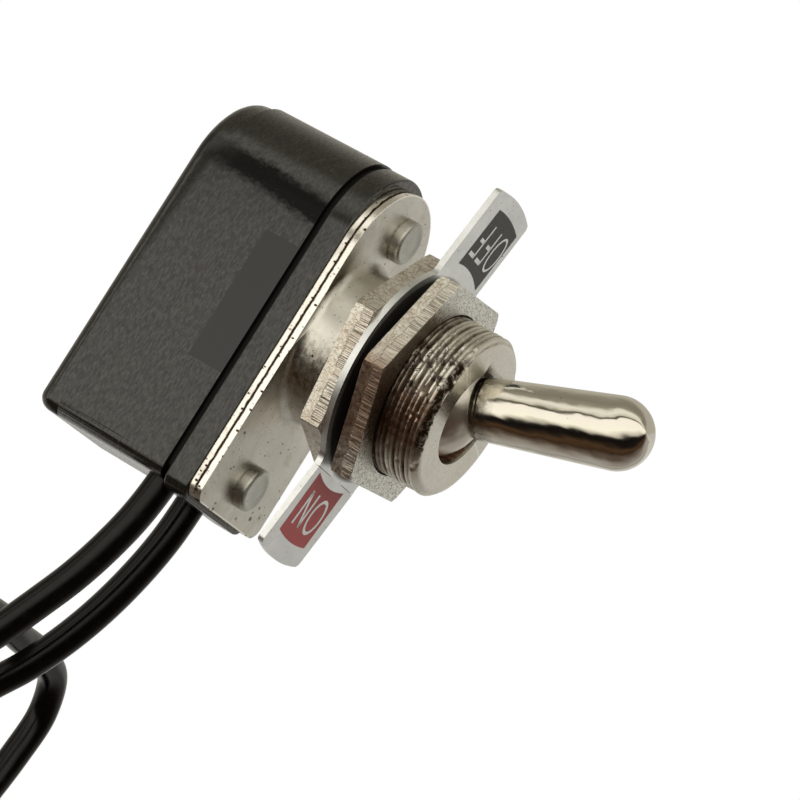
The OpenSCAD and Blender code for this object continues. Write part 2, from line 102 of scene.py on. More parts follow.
# Height of the light round the tent, in degrees from its open front, against its colour
tent_top = (-0.845, -0.283, -0.454)
tent_front = (0.100, -0.917, 0.385)
tent_strength = 1.4
tent = [
    (-180, (0.42, 0.41, 0.38)), (-157, (0.50, 0.49, 0.45)), (-148, (0.40, 0.385, 0.35)),
    (-138, (0.25, 0.24, 0.22)), (-125, (0.32, 0.31, 0.29)), (-103, (0.20, 0.175, 0.15)),
    (-88, (0.09, 0.07, 0.055)), (-71, (0.035, 0.019, 0.011)), (-56, (0.056, 0.031, 0.016)),
    (-46, (0.022, 0.014, 0.009)), (-36, (0.008, 0.006, 0.005)), (-20, (0.005, 0.004, 0.004)),
    (-12, (0.025, 0.023, 0.018)),
    (0, (0.61, 0.575, 0.49)), (9, (0.92, 0.89, 0.78)), (34, (0.90, 0.86, 0.78)),
    (44, (0.88, 0.84, 0.77)), (46.5, (0.09, 0.08, 0.06)), (50.5, (0.08, 0.07, 0.05)),
    (54, (0.50, 0.48, 0.40)), (66, (0.74, 0.71, 0.64)), (73, (0.66, 0.64, 0.56)),
    (81, (0.24, 0.23, 0.18)), (97, (0.19, 0.175, 0.14)), (115, (0.22, 0.20, 0.16)),
    (140, (0.36, 0.34, 0.29)),
]
world = bpy.data.worlds.new("tent")
world.use_nodes = True
bpy.context.scene.world = world
tree = world.node_tree
tree.nodes.clear()
toward = put(tree, "TexCoord").outputs["Generated"]
up, ahead = (put(tree, "VectorMath", {0: toward, 1: axis}, operation="DOT_PRODUCT").outputs[1]
             for axis in (tent_top, tent_front))
angle = put(tree, "Math", {0: up, 1: ahead}, operation="ARCTAN2").outputs[0]
share = put(tree, "MapRange", {0: angle, 1: -math.pi, 2: math.pi}).outputs[0]
panels = ramp(tree, share, [((a + 180) / 360, colour) for a, colour in tent])
seen = put(tree, "LightPath").outputs["Is Camera Ray"]
backdrop = put(tree, "Background", {0: (1, 1, 1, 1), 1: 1.0}).outputs[0]
lit = put(tree, "Background", {0: panels, 1: tent_strength}).outputs[0]
mixed = put(tree, "MixShader", {0: seen, 1: lit, 2: backdrop}).outputs[0]
put(tree, "OutputWorld", {0: mixed})

table_half = 0.6
table_z = -0.1 * mm
table_mesh = bpy.data.meshes.new("table")
table_mesh.from_pydata(
    [(x * table_half, y * table_half, table_z) for x, y in ((-1, -1), (1, -1), (1, 1), (-1, 1))],
    [], [(0, 1, 2, 3)],
)
table = bpy.data.objects.new("table", table_mesh)
bpy.context.scene.collection.objects.link(table)
for ray in ("diffuse", "glossy", "transmission", "shadow"):
    setattr(table, "visible_" + ray, False)
white_table = bpy.data.materials.new("white_table")
white_table.use_nodes = True
tree = white_table.node_tree
tree.nodes.clear()
under = put(tree, "NewGeometry").outputs["Backfacing"]
glow = put(tree, "Emission", {0: (1, 1, 1, 1), 1: 1.0}).outputs[0]
clear = put(tree, "BsdfTransparent").outputs[0]
put(tree, "OutputMaterial", {0: put(tree, "MixShader", {0: under, 1: glow, 2: clear}).outputs[0]})
table_mesh.materials.append(white_table)

# --- Leads
# Two limp hook-up leads in black PVC, stripped at the free end. They come out between
# the case and the cover at the ON end, drop to the table and lie there in loose curves.
lead_radius = 1.1
lead_height = 10.05
lead_side = 2.8
case_end = 13.9
lead_start = 9.2
bare_length = 4.5
wire_start = 6.8
strand_radius = 0.2
strand_press = 0.03
strand_twist = 0.9
common_route = [
    (17, -2.8, 9.7), (19.6, -2.8, 9.1), (22.4, -2.8, 8.2), (25.2, -2.8, 7),
    (28, -2.8, 5.7), (32, -3, 3.7), (36, -3.4, 2.1), (40, -3.8, 1.3), (45, -4.4, 1.1),
    (50.4, -5, 1.1), (56, -4.4, 1.1), (61.2, -2, 1.1), (65.2, 2.2, 1.1), (67.2, 7.6, 1.1),
    (66.8, 13.2, 1.1), (64, 18, 1.1), (59.4, 20.8, 1.1), (54.2, 20.8, 1.1), (50.6, 17.4, 1.1),
    (49.8, 12.6, 1.1), (51.2, 8, 1.1), (54.8, 4.8, 1.1), (59, 4.6, 1.1), (62, 7.4, 1.1),
    (62.2, 11.4, 1.1), (60.2, 14.6, 1.1), (57, 15.6, 1.1),
]
switched_route = [
    (17, 2.8, 9.9), (20.6, 2.8, 9.3), (24.2, 2.8, 8.3), (27, 2.8, 7.2),
    (29.4, 2.8, 6), (32, 2.9, 4.3), (35, 3, 2.6), (39, 3.6, 1.3), (43.4, 5.6, 1.1),
    (46.4, 9, 1.1), (46.6, 13.4, 1.1), (43.6, 17, 1.1), (39.4, 18.4, 1.1),
    (35.8, 19.2, 1.1), (32.4, 19.4, 1.1), (29.8, 17.8, 1.1), (28.6, 14, 1.1),
    (28.2, 9.6, 1.1), (27.6, 4.6, 1.1), (27.8, -0.6, 1.1), (29.6, -5.8, 1.1),
    (33.6, -9.8, 1.1), (38.8, -12, 1.1), (44.4, -12.8, 1.1), (50, -13, 1.1),
    (55.4, -12.4, 1.1), (60.2, -10.4, 1.1),
]


def quads(rows, columns, closed=True):
    """Corner numbers of the faces of a grid, whose columns close into a ring if closed."""
    row = np.arange(rows - 1)[:, None] * columns
    column = np.arange(columns if closed else columns - 1)[None, :]
    nearby = (column + 1) % columns
    corners = [row + column, row + nearby, row + columns + nearby, row + columns + column]
    return np.stack(corners, -1).reshape(-1, 4)


def shown(name, mesh, finish, crease):
    """Makes an object of a mesh, which is smooth but for edges sharper than crease degrees."""
    mesh.shade_smooth()
    mesh.set_sharp_from_angle(angle=level(crease))
    mesh.materials.append(finish)
    piece = bpy.data.objects.new(name, mesh)
    bpy.context.scene.collection.objects.link(piece)
    return piece


def built(name, points, faces, finish, crease=40):
    """Makes a mesh object of points in millimetres, with its doubles merged."""
    mesh = bpy.data.meshes.new(name)
    mesh.from_pydata((points.reshape(-1, 3) * mm).tolist(), [], faces.tolist())
    work = bmesh.new()
    work.from_mesh(mesh)
    bmesh.ops.remove_doubles(work, verts=work.verts, dist=1e-6)
    work.to_mesh(mesh)
    work.free()
    return shown(name, mesh, finish, crease)


def settled(piece, body, slot, *nodes):
    """The piece rides on a body and stands for some CAD nodes, which it hides. Its slot is not
    used.
    """
    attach(piece, body)
    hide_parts(*nodes)
    return piece


def spline(points, steps):
    """Cubic through the points, each span worked out from its ends and the chords' slopes there."""
    points = np.asarray(points, float)
    chord = np.linalg.norm(np.diff(points, axis=0), axis=1)[:, None]
    slope = np.diff(points, axis=0) / chord
    inner = (slope[:-1] * chord[1:] + slope[1:] * chord[:-1]) / (chord[:-1] + chord[1:])
    tangent = np.concatenate([slope[:1], inner, slope[-1:]])
    t = (np.arange(steps) / steps)[None, :, None]
    a, b, length = points[:-1, None], points[1:, None], chord[:, None]
    ease = 3 * t**2 - 2 * t**3
    curve = ((1 - ease) * a + ease * b + length * (t**3 - 2 * t**2 + t) * tangent[:-1, None]
             + length * (t**3 - t**2) * tangent[1:, None])
    return np.concatenate([curve.reshape(-1, 3), points[-1:]])


def cross_axes(path):
    """Two unit vectors across a path that is never upright: level, and square to that."""
    along = np.gradient(path, axis=0)
    along /= np.linalg.norm(along, axis=1)[:, None]
    across = np.cross(along, (0, 0, 1))
    across /= np.linalg.norm(across, axis=1)[:, None]
    return across, np.cross(across, along)


def rod(path, radius, sides, offset=0.0, turn=0.0):
    """Round rod along a path: rings of the given radius, offset from the path at the angle turn,
    with its ends closed in to a point on the rod's middle."""
    across, upright = cross_axes(path)
    turn = np.broadcast_to(turn, len(path))[:, None]
    middle = path + offset * (np.cos(turn) * across + np.sin(turn) * upright)
    round_it = np.linspace(0, 2 * np.pi, sides, endpoint=False)[None, :, None]
    ring = np.cos(round_it) * across[:, None] + np.sin(round_it) * upright[:, None]
    body = middle[:, None] + radius * ring
    ends = np.broadcast_to(middle[[0, -1], None], (2, sides, 3))
    grid = np.concatenate([ends[:1], body, ends[1:]])
    return grid, quads(len(grid), sides)[:, ::-1]


def strands(path):
    """Seven strands laid round each other along a path."""
    run = np.concatenate([[0], np.cumsum(np.linalg.norm(np.diff(path, axis=0), axis=1))])
    made, faces, count = [], [], 0
    for number in range(7):
        offset = 0 if number == 6 else 2 * strand_radius - strand_press
        grid, face = rod(path, strand_radius, 10, offset, number * np.pi / 3 + strand_twist * run)
        made.append(grid.reshape(-1, 3))
        faces.append(face + count)
        count += len(made[-1])
    return np.concatenate(made), np.concatenate(faces)


def new_finish(name, constants):
    """A material of one Principled shader, whose constant values are set on its own sockets, with
    its node tree and places in millimetres."""
    finish = bpy.data.materials.new(name)
    finish.use_nodes = True
    tree = finish.node_tree
    for socket, value in constants.items():
        tree.nodes["Principled BSDF"].inputs[socket].default_value = value
    return finish, tree, place_in_mm(tree)


def place_in_mm(tree, turn=(0, 0, 0), stretch=(1, 1, 1)):
    """Object coordinates in millimetres, turned and stretched to suit a pattern."""
    place = put(tree, "TexCoord").outputs["Object"]
    scale = tuple(s / mm for s in stretch)
    return put(tree, "Mapping", {"Vector": place, "Rotation": turn, "Scale": scale}).outputs[0]


def fed(kind, inputs, **settings):
    """Adds a node in the tree of the first socket among its inputs, and gives its outputs."""
    sockets = [value for value in inputs.values() if isinstance(value, bpy.types.NodeSocket)]
    return put(sockets[0].id_data, kind, inputs, **settings).outputs


def noise(place, scale, detail=4.0, rough=0.55, seed=0.0):
    """Noise value, at scale features for each millimetre."""
    inputs = {"Vector": place, "W": seed, "Scale": scale, "Detail": detail, "Roughness": rough}
    return fed("TexNoise", inputs, noise_dimensions="4D")[0]


def span(value, low, high, to_low=0.0, to_high=1.0):
    """Value stretched from low..high to to_low..to_high, and held at those ends."""
    return fed("MapRange", {0: value, 1: low, 2: high, 3: to_low, 4: to_high})[0]


def blend(factor, first, second):
    """Colour between first, at factor 0, and second, at factor 1."""
    first, second = ((*end, 1.0) if isinstance(end, tuple) else end for end in (first, second))
    return fed("Mix", {0: factor, 6: first, 7: second}, data_type="RGBA")[2]


def surfaced(finish, colour, rough, height, strength, distance, coat=0.0):
    """Feeds the shader its colour, roughness and coat, and a height in units of distance
    millimetres."""
    bump = fed("Bump", {"Height": height, "Strength": strength, "Distance": distance * mm})[0]
    fed_in = {"Base Color": colour, "Roughness": rough, "Normal": bump}
    if coat:
        fed_in["Coat Weight"] = coat
    for socket, value in fed_in.items():
        finish.node_tree.links.new(value, finish.node_tree.nodes["Principled BSDF"].inputs[socket])
    return finish


def pvc_finish():
    """Black PVC: satin, a little dusty, with faint ripples from the extruder."""
    finish, _, place = new_finish("black_pvc", {"Specular IOR Level": 0.27})
    dust = span(noise(place, 0.9, 6, 0.7), 0.5, 0.75)
    colour = blend(dust, (0.0028, 0.0028, 0.0024), (0.008, 0.008, 0.007))
    rough = span(noise(place, 1.6, 3), 0.3, 0.7, 0.15, 0.27)
    return surfaced(finish, colour, rough, noise(place, 0.7, 4, 0.5, 3.0), 0.25, 0.06)


def tinned_finish():
    """Tinned copper strand: bright grey, a little dull, with copper showing at rubbed spots."""
    finish, _, place = new_finish("tinned_strand", {"Metallic": 1.0})
    rubbed = span(noise(place, 2.5, 4), 0.62, 0.72)
    colour = blend(rubbed, (0.62, 0.61, 0.58), (0.60, 0.30, 0.17))
    rough = span(noise(place, 4, 3), 0.3, 0.7, 0.22, 0.45)
    return surfaced(finish, colour, rough, noise(place, 6, 3), 0.3, 0.02)


black_pvc = pvc_finish()
tinned_strand = tinned_finish()
for name, side, route in (("common", -lead_side, common_route),
                          ("switched", lead_side, switched_route)):
    exit_point = (case_end, side, lead_height)
    path = spline([(lead_start, side, lead_height), exit_point] + route, 10)
    lead = built("lead_" + name + "_sheath", *rod(path, lead_radius, 32), black_pvc)
    settled(lead, "housing", "pvc", "lead_" + name)

    heading = path[-1] - path[-2]
    heading /= np.linalg.norm(heading)
    bare = path[-1] + heading * np.linspace(0, bare_length, 24)[:, None]
    inside = np.linspace((wire_start, side, lead_height), (lead_start, side, lead_height), 12)
    outer_points, outer_faces = strands(bare)
    inner_points, inner_faces = strands(inside)
    wire = built("wire_" + name + "_strands", np.concatenate([outer_points, inner_points]),
                 np.concatenate([outer_faces, inner_faces + len(outer_points)]), tinned_strand)
    settled(wire, "housing", "tinned_wire", "wire_" + name)

# --- Case
# Deep moulding in black phenolic, open at the front, whose OFF end is a half circle. It is
# rubbed grey and finely scratched, and smooth on a blank panel. A mottled dark reflection is
# painted in a streak where its round end starts, and shadow is painted in the seam under the cover.
panel_low_x, panel_high_x, panel_low_z = -3.85, 6.0, 8.05
side_face = -5.5
seam_low = 11.05
seam_wear = 0.18
round_middle = -6.6
# Angular half width of the painted dark reflection streak on the round end
reflection_streak_angle = 0.075


def dressed(node, body, slot, finish, edge, crease=35):
    """Merged copy of a CAD solid that stands for it, its edges rounded by edge millimetres."""
    work = bmesh.new()
    work.from_mesh(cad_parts[node].data)
    bmesh.ops.remove_doubles(work, verts=work.verts, dist=2e-6)
    bmesh.ops.dissolve_limit(work, angle_limit=level(0.5), verts=work.verts, edges=work.edges)
    mesh = bpy.data.meshes.new(node + "_dressed")
    work.to_mesh(mesh)
    work.free()
    piece = shown(node + "_dressed", mesh, finish, crease)
    rounding = piece.modifiers.new("rounded_edges", "BEVEL")
    rounding.width = edge * mm
    rounding.segments = 2
    rounding.limit_method = "ANGLE"
    rounding.angle_limit = level(crease)
    rounding.harden_normals = True
    return settled(piece, body, slot, node)


def mask_group(name, **numbers):
    """Node group for a mask worked out from a place and some numbers, given with their defaults."""
    group = bpy.data.node_groups.new(name, "ShaderNodeTree")
    group.interface.new_socket("Place", in_out="INPUT", socket_type="NodeSocketVector")
    for key, value in numbers.items():
        number = group.interface.new_socket(key, in_out="INPUT", socket_type="NodeSocketFloat")
        number.default_value = value
    group.interface.new_socket("Mask", in_out="OUTPUT", socket_type="NodeSocketFloat")
    given = group.nodes.new("NodeGroupInput").outputs
    return group, given["Place"], given, group.nodes.new("NodeGroupOutput").inputs["Mask"]


def math_of(operation, first, *others):
    """Arithmetic on one value, or on several from left to right."""
    for other in others or (0.0,):
        first = fed("Math", {0: first, 1: other}, operation=operation)[0]
    return first


def times(*values):
    """Product of values."""
    return math_of("MULTIPLY", *values)


def plus(*values):
    """Sum of values."""
    return math_of("ADD", *values)


def minus(first, second):
    """First value less the second."""
    return math_of("SUBTRACT", first, second)


def most(*values):
    """Greatest of some values."""
    return math_of("MAXIMUM", *values)


def apart(first, second):
    """How far apart two values are."""
    return math_of("ABSOLUTE", minus(first, second))


def off_axis(x, y):
    """Distance of x and y from an upright axis."""
    flat = fed("CombineXYZ", {0: x, 1: y})[0]
    return fed("VectorMath", {0: flat}, operation="LENGTH")["Value"]


def layered(tone, *layers):
    """Lays layers, each a (mask, colour), over a tone."""
    for mask, colour in layers:
        tone = blend(mask, tone, colour)
    return tone


def pits_group():
    """Small pits: cells of a Voronoi pattern, a share of which holds a pit of its own size."""
    group, place, given, mask = mask_group("pits", Scale=1.0, Size=0.3, Share=0.5)
    cells = fed("TexVoronoi", {"Vector": place, "Scale": given["Scale"]})
    parts = fed("SeparateColor", {0: cells["Color"]})
    present = math_of("LESS_THAN", parts[0], given["Share"])
    size = times(given["Size"], span(parts[1], 0, 1, 0.3, 1))
    ragged = times(noise(place, 9, 3), 0.25)
    reach = minus(plus(cells["Distance"], ragged), 0.12)
    group.links.new(times(span(reach, size, times(size, 0.55)), present), mask)
    return group


def grime_group():
    """Dirt or tarnish in patches: layered noise that is cut off at a level, with a soft edge."""
    group, place, given, mask = mask_group("grime", Scale=1.0, Level=0.5, Edge=0.08, Seed=0.0)
    layers = noise(place, given["Scale"], 7.0, 0.65, given["Seed"])
    low = minus(given["Level"], given["Edge"])
    high = plus(given["Level"], given["Edge"])
    group.links.new(span(layers, low, high), mask)
    return group


def scratches_group():
    """Fine scratches: lines where a drawn-out noise crosses its middle value, here and there."""
    group, place, given, mask = mask_group("scratches", Scale=1.0, Width=0.01, Cover=0.5)
    scaled = fed("VectorMath", {0: place, "Scale": given["Scale"]}, operation="SCALE")[0]
    line = span(apart(noise(scaled, 1.0, 1.5, 0.4), 0.5), given["Width"], 0.0)
    broken = math_of("LESS_THAN", noise(place, 0.8, 2.0, 0.5, 4.0), given["Cover"])
    group.links.new(times(line, broken), mask)
    return group


pits = pits_group()
grime = grime_group()
scratches = scratches_group()


def effect(group, place, **numbers):
    """Mask that an effect's node group works out at a place, with its own numbers."""
    return fed("Group", {"Place": place, **numbers}, node_tree=group)["Mask"]


def phenolic_finish(name, wear_and_painted_light=None):
    """Black phenolic, dull under a rubbed skin that is finely grained, scratched and smeared.
    The last argument adds a piece's own wear, and its painted reflection and shadow, to the colour,
    the roughness, the relief and the skin."""
    finish, tree, place = new_finish(
        name, {"Specular IOR Level": 0.12, "Coat IOR": 1.72, "Coat Roughness": 0.13})
    grain = noise(place, 7, 3, 0.6)
    drawn = place_in_mm(tree, (0, level(32), 0), (0.35, 1, 2.2))
    lines = effect(scratches, drawn, Scale=1.6, Width=0.012, Cover=0.46)
    smear = noise(place_in_mm(tree, (0, level(35), 0), (0.5, 1, 1.6)), 0.9, 6, 0.65)
    woven = noise(place_in_mm(tree, (0, level(35), 0), (2.2, 4, 6.0)), 1.0, 3, 0.6, 2.0)
    colour = blend(span(smear, 0.35, 0.7), (0.009, 0.009, 0.007), (0.016, 0.015, 0.0115))
    colour = blend(times(lines, 0.35), colour, (0.10, 0.10, 0.085))
    rough = span(grain, 0.3, 0.7, 0.30, 0.46)
    relief = plus(grain, times(lines, -0.8))
    skin = times(span(woven, 0.38, 0.62, 0.60, 1.04), span(grain, 0.35, 0.65, 0.76, 1.0))
    if wear_and_painted_light:
        colour, rough, relief, skin = wear_and_painted_light(place, colour, rough, relief, skin)
    return surfaced(finish, colour, rough, relief, 0.35, 0.02, skin)


def case_panel_and_painted_dark(place, colour, rough, relief, skin):
    """The case's skin is smooth in a blank rectangle on its side. A mottled streak of dark
    reflection is painted along the start of the round end, and shadow is painted in the seam
    under the cover; the skin is taken off in both."""
    x, y, z = fed("SeparateXYZ", {0: place})
    inside = times(math_of("GREATER_THAN", x, panel_low_x), math_of("LESS_THAN", x, panel_high_x),
                   math_of("GREATER_THAN", z, panel_low_z), math_of("LESS_THAN", y, side_face))
    colour = blend(inside, colour, (0.010, 0.0105, 0.0105))
    rough = span(inside, 0, 1, rough, 0.42)
    relief = times(relief, span(inside, 0, 1, 1.0, 0.12))
    skin = span(inside, 0, 1, skin, 0.53)

    # Painted dark reflection: a mottled near-black streak along the start of the round end, on the
    # near side.
    round_it = math_of("ARCTAN2", minus(round_middle, x), times(y, -1.0))
    torn = noise(place_in_mm(place.id_data, stretch=(1, 1, 0.5)), 2.4, 6, 0.7)
    round_it = plus(round_it, span(z, 5.6, 11.1, 0.0, 0.10),
                    span(torn, 0.25, 0.75, -reflection_streak_angle, reflection_streak_angle))
    specks = span(noise(place, 5.0, 4, 0.7, 3.0), 0.56, 0.66, 1.0, 0.70)
    reflection_streak = times(span(apart(round_it, reflection_streak_angle), 0.205, 0.10), specks,
                   span(z, 0.7, 3.5, 0.35, 0.97))
    # Painted shadow: the case's rim just under the cover is painted near black, as the shade in the
    # seam.
    bowed = math_of("MINIMUM", minus(x, round_middle), 0.0)
    seam_shadow = times(span(off_axis(bowed, y), 5.72, 5.6),
                 math_of("GREATER_THAN", z, seam_low - seam_wear - 0.04))
    # The painted reflection and the painted shadow together are near black, without the skin.
    painted_dark = most(reflection_streak, seam_shadow)
    skin = times(skin, minus(1.0, painted_dark))
    return blend(painted_dark, colour, (0.0022, 0.0022, 0.0018)), rough, relief, skin


case = dressed("case", "housing", "phenolic", phenolic_finish("rubbed_phenolic", case_panel_and_painted_dark), 0.1)
points = np.empty(len(case.data.vertices) * 3)
case.data.vertices.foreach_get("co", points)
at_seam = np.abs(points[2::3] - seam_low * mm) < 0.02 * mm
points[2::3][at_seam] -= seam_wear * mm
case.data.vertices.foreach_set("co", points)

# --- Terminals and wires inside the case
# Two folded brass strips on the case's floor: one carries the rocker in two ears, the other
# the fixed silver contact. Each lead's wire is swaged through a post at the ON end.


def metal_finish(name, colour, dull, rough, uneven):
    """Plain worked metal: colour fading to dull in tarnished patches, with fine tool marks."""
    finish, tree, place = new_finish(name, {"Metallic": 1.0})
    tarnish = effect(grime, place, Scale=0.8, Level=0.52, Edge=0.16)
    marks = noise(place_in_mm(tree, (0, 0, level(20)), (6, 0.8, 6)), 1.2, 4, 0.6)
    relief = plus(marks, noise(place, 2, 4))
    return surfaced(finish, blend(tarnish, colour, dull),
                    span(marks, 0.3, 0.7, rough, rough + 0.15), relief, uneven, 0.02)


def refinished(finish, *nodes):
    """A CAD solid keeps its own mesh and takes a better finish."""
    for node in nodes:
        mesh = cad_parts[node].data
        mesh.materials.clear()
        mesh.materials.append(finish)


brass = metal_finish("terminal_brass", (0.72, 0.50, 0.22), (0.42, 0.27, 0.12), 0.24, 0.2)
silver = metal_finish("contact_silver", (0.86, 0.85, 0.82), (0.45, 0.42, 0.38), 0.2, 0.25)
refinished(brass, "common_terminal", "switched_terminal")
refinished(silver, "fixed_contact", "moving_contact")

# --- Contact rocker
# A strip of copper pressed into a trough, with two tabs. It rocks on pins in the ears, and
# carries the moving silver contact under its OFF tab.
copper = metal_finish("rocker_copper", (0.72, 0.36, 0.22), (0.38, 0.17, 0.10), 0.25, 0.25)
refinished(copper, "contact_rocker")

# --- Plunger and its spring
# A nylon plunger slides in the lever's tail. A steel coil spring presses its round tip
# into the rocker's trough, and throws the rocker over as the lever passes the middle.
lever_lean = level(18)
pivot_height = 22.3
coil_radius = 0.97
coil_wire = 0.17
coil_turns = 6
coil_low = -4.99
coil_high = -1.01


def leant(points):
    """Points of the lever's own frame, leant to OFF about its pivot."""
    x, y, z = points[..., 0], points[..., 1], points[..., 2]
    lean_x = x * math.cos(lever_lean) - z * math.sin(lever_lean)
    lean_z = x * math.sin(lever_lean) + z * math.cos(lever_lean) + pivot_height
    return np.stack([lean_x, y, lean_z], -1)


def coil():
    """Round wire wound in an even helix about the lever's own axis."""
    turn = np.linspace(0, 2 * np.pi * coil_turns, 24 * coil_turns + 1)
    rise = np.linspace(coil_low, coil_high, len(turn))
    helix = np.stack([coil_radius * np.cos(turn), coil_radius * np.sin(turn), rise], -1)
    return rod(leant(helix), coil_wire, 10)


def nylon_finish():
    """Natural nylon: milky, slightly see-through and smooth, with faint turning rings."""
    finish, tree, place = new_finish(
        "natural_nylon", {"Subsurface Weight": 0.25, "Subsurface Radius": (0.001, 0.0009, 0.0007)})
    cloud = noise(place, 0.7, 4)
    rings = noise(place_in_mm(tree, stretch=(0.5, 0.5, 9)), 1, 2)
    return surfaced(finish, blend(cloud, (0.78, 0.74, 0.64), (0.88, 0.86, 0.80)),
                    span(cloud, 0.3, 0.7, 0.35, 0.5), rings, 0.15, 0.01)


spring_steel = metal_finish("spring_steel", (0.52, 0.50, 0.47), (0.30, 0.27, 0.24), 0.22, 0.2)
refinished(nylon_finish(), "plunger")
spring = built("spring_coil", *coil(), spring_steel)
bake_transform(spring)
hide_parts("lever_spring")

# --- Cover
# A flat moulding in the same phenolic that closes the case and clamps the leads. Its front
# edge is rounded, and it is cleaner and smoother than the case.
dressed("cover", "housing", "phenolic", phenolic_finish("clean_phenolic"), 0.22)

# --- Plates
# A brass plate lies under a nickel-plated steel plate, whose middle is drawn up in a boss
# that holds the bushing. Both are punched, with bright nicked edges and rust pits.
plate_half = 5.8
plate_end = 14.0
plate_face = 14.2
plate_seam = 13.7


def plated_finish(name, colour, stain, rough, specks=0.35, stains=0.62, wear_and_painted_light=None):
    """Worn nickel plating: satin, pitted and stained. The last argument adds a piece's own wear,
    and its painted shadow and reflection, to the tone and the roughness."""
    finish, _, place = new_finish(name, {"Metallic": 1.0})
    patches = effect(grime, place, Scale=0.55, Level=stains, Edge=0.10)
    spots = most(effect(pits, place, Scale=1.5, Size=0.16, Share=specks),
                 effect(pits, place, Scale=5.5, Size=0.30, Share=specks * 0.6))
    shade = span(noise(place, 0.35, 5, 0.6, 2.0), 0.35, 0.65)
    tone = blend(shade, colour, tuple(0.86 * c for c in colour))
    tone = blend(times(patches, 0.55), tone, stain)
    satin = span(noise(place, 3.5, 4, 0.6), 0.3, 0.7, rough, rough + 0.12)
    if wear_and_painted_light:
        tone, satin = wear_and_painted_light(place, tone, satin)
    relief = minus(noise(place, 1.3, 5, 0.6, 5.0), times(spots, 0.8))
    return surfaced(finish, blend(spots, tone, (0.035, 0.025, 0.018)),
                    plus(satin, times(spots, 0.4)), relief, 0.3, 0.03)


def sheared_wear_and_painted_light(place, tone, satin):
    """The plates' sheared edges are bright and nicked, with shadow painted along the seam between
    them and rust on the lower one towards the ON end. Pits gather round the ON rivet. A dark
    reflection is painted on the top plate beside its boss, and a mottled brown reflection on the
    boss."""
    tree = place.id_data
    x, y, z = fed("SeparateXYZ", {0: place})
    bowed = math_of("MINIMUM", plus(x, plate_half), 0.0)
    edge = most(span(off_axis(bowed, y), plate_half - 0.12, plate_half - 0.05),
                span(x, plate_end - 0.12, plate_end - 0.05))
    edge = times(edge, span(z, plate_face + 0.08, plate_face + 0.02))

    cloudy = noise(place, 0.9, 5, 0.65, 8.0)
    rusty = plus(span(x, 1.0, 9.0, 0.0, 0.12), span(cloudy, 0.4, 0.7, -0.15, 0.3))
    rusty = times(rusty, math_of("LESS_THAN", z, plate_seam), edge)
    pitted = effect(pits, place_in_mm(tree, stretch=(1.4, 1, 1)), Scale=1.5, Size=0.46,
                    Share=span(x, 7.5, 11.5, 0.0, 0.26))
    # Painted dark reflection on the top plate's face beside the boss, on its near side.
    dark_reflection_beside_boss = times(span(y, -4.4, -5.0), span(x, 3.4, 1.8), span(x, -6.5, -3.5),
                   minus(1.0, edge), span(z, plate_face + 0.45, plate_face + 0.1))
    # Painted brown reflection, mottled, on the near side of the boss.
    wrinkled = noise(place_in_mm(tree, stretch=(1.6, 1.6, 2.4)), 1.0, 6, 0.7, 6.0)
    boss_reflection = times(span(wrinkled, 0.42, 0.58), span(z, plate_face + 0.1, plate_face + 0.5),
                 span(x, 0.3, 2.0), span(y, -3.0, -4.5))
    nicks = effect(pits, place_in_mm(tree, stretch=(1.6, 1, 1)), Scale=1.6, Size=0.34, Share=0.8)
    # Painted shadow along the seam between the two plates, together with real nicks, on the plates'
    # edges.
    ragged = span(noise(place, 2.2, 4, 0.6, 3.0), 0.3, 0.7, -0.05, 0.05)
    plate_seam_shadow = span(apart(plus(z, ragged), plate_seam), 0.13, 0.06)
    darkening = times(most(nicks, plate_seam_shadow), edge)
    # Layers: bright edges, rust, pits, painted dark reflection beside the boss, painted brown
    # reflection on the boss, and nicks with painted seam shadow.
    tone = layered(
        tone, (edge, (0.96, 0.93, 0.86)), (rusty, (0.10, 0.065, 0.03)),
        (times(pitted, 0.85), (0.07, 0.04, 0.02)), (times(dark_reflection_beside_boss, 0.88), (0.075, 0.058, 0.035)),
        (times(boss_reflection, 0.72), (0.16, 0.11, 0.085)), (darkening, (0.05, 0.028, 0.012)))
    return tone, plus(span(edge, 0, 1, satin, 0.16), times(darkening, 0.4))


plate_brass = plated_finish("plate_brass", (0.90, 0.84, 0.73), (0.35, 0.20, 0.10), 0.3,
                            specks=0.6, wear_and_painted_light=sheared_wear_and_painted_light)
plate_nickel = plated_finish("plate_nickel", (0.72, 0.70, 0.64), (0.46, 0.40, 0.30), 0.27,
                             wear_and_painted_light=sheared_wear_and_painted_light)
dressed("lower_plate", "housing", "brass", plate_brass, 0.05)
dressed("top_plate", "housing", "steel", plate_nickel, 0.08)

# --- Rivets
# Two steel rivets clamp plates, cover and case. Their flat heads are rounded at the rim and
# slightly hollowed by the set that pressed them; the tails are swaged in the case's back.
rivet_shank = 0.75
rivet_head = 1.575
swage_radius, swage_depth, swage_round = 1.35, 0.7, 0.15


def turned(profile, sides=96, centre=(0.0, 0.0)):
    """Profile of (radius, height) turned about an upright axis, running so that faces look out."""
    profile = np.asarray(profile, float)
    angle = np.linspace(0, 2 * np.pi, sides, endpoint=False)[None, :]
    radius, height = profile[:, :1], profile[:, 1:]
    grid = np.stack([centre[0] + radius * np.cos(angle), centre[1] + radius * np.sin(angle),
                     np.broadcast_to(height, (len(profile), sides))], -1)
    return grid, quads(len(profile), sides)


def corner(centre, radius, start, stop, steps=5):
    """Arc of a profile about centre, between two angles in degrees."""
    angles = np.radians(np.linspace(start, stop, steps))
    return [(centre[0] + radius * np.cos(a), centre[1] + radius * np.sin(a)) for a in angles]


